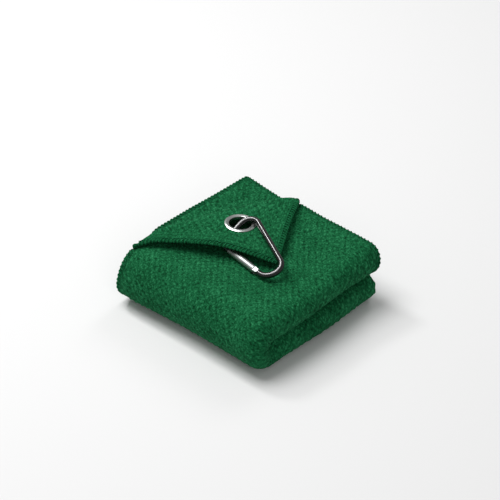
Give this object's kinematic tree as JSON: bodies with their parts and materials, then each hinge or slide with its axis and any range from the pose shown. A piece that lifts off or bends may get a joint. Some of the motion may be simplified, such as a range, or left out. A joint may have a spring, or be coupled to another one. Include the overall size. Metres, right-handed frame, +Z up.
{
  "type": "folded golf towel",
  "caption": "Folded waffle microfibre golf towel with one corner turned back, a metal grommet in the corner and a spring-gate clip through the grommet.",
  "frame": {"origin": "centre of the folded block's underside, on the surface it lies on", "axes": "+Z up; +Y from the wrapped end to the open end; +X from the hemmed side to the rounded folds"},
  "size_m": [0.15, 0.144, 0.0663],
  "materials": {
    "cloth": "waffle-weave microfibre, matt",
    "thread": "overlocked polyester thread",
    "grommet": "nickel-plated, satin",
    "clip_black": "black anodised, glossy",
    "gate_metal": "plain aluminium, satin",
    "pin_steel": "plated steel"
  },
  "bodies": {
    "folded_towel": {"towel_cloth": "cloth", "long_hem_thread": "thread", "inner_hem_thread": "thread", "corner_bight": "cloth"},
    "corner": {"corner_flap": "cloth", "flap_hem_thread": "thread", "grommet_front": "grommet", "grommet_back": "grommet"},
    "clip": {"carabiner_body": "clip_black"},
    "gate": {"gate_tube": "gate_metal", "gate_latch_pin": "pin_steel", "gate_rivet": "pin_steel", "gate_spring": "pin_steel", "gate_plunger": "pin_steel"}
  },
  "joints": [
    {"name": "corner_lift", "type": "hinge", "parent": "folded_towel", "child": "corner", "pos_m": [-0.0405, 0.0083, 0.0505], "axis": [-0.416, -0.9094, 0], "range_deg": [0, 120], "deforming": ["corner_bight"]},
    {"name": "clip_swing", "type": "hinge", "parent": "corner", "child": "clip", "pos_m": [-0.01959, 0.01169, 0.05996], "axis": [0.0249, 0.0563, 0.9981], "range_deg": [-45, 0]},
    {"name": "gate_open", "type": "hinge", "parent": "clip", "child": "gate", "pos_m": [0.02374, -0.01624, 0.05113], "axis": [0.0523, 0.3738, -0.926], "range_deg": [0, 13], "stiffness_Nm_per_rad": 0.03, "springref_deg": -17.19}
  ]
}
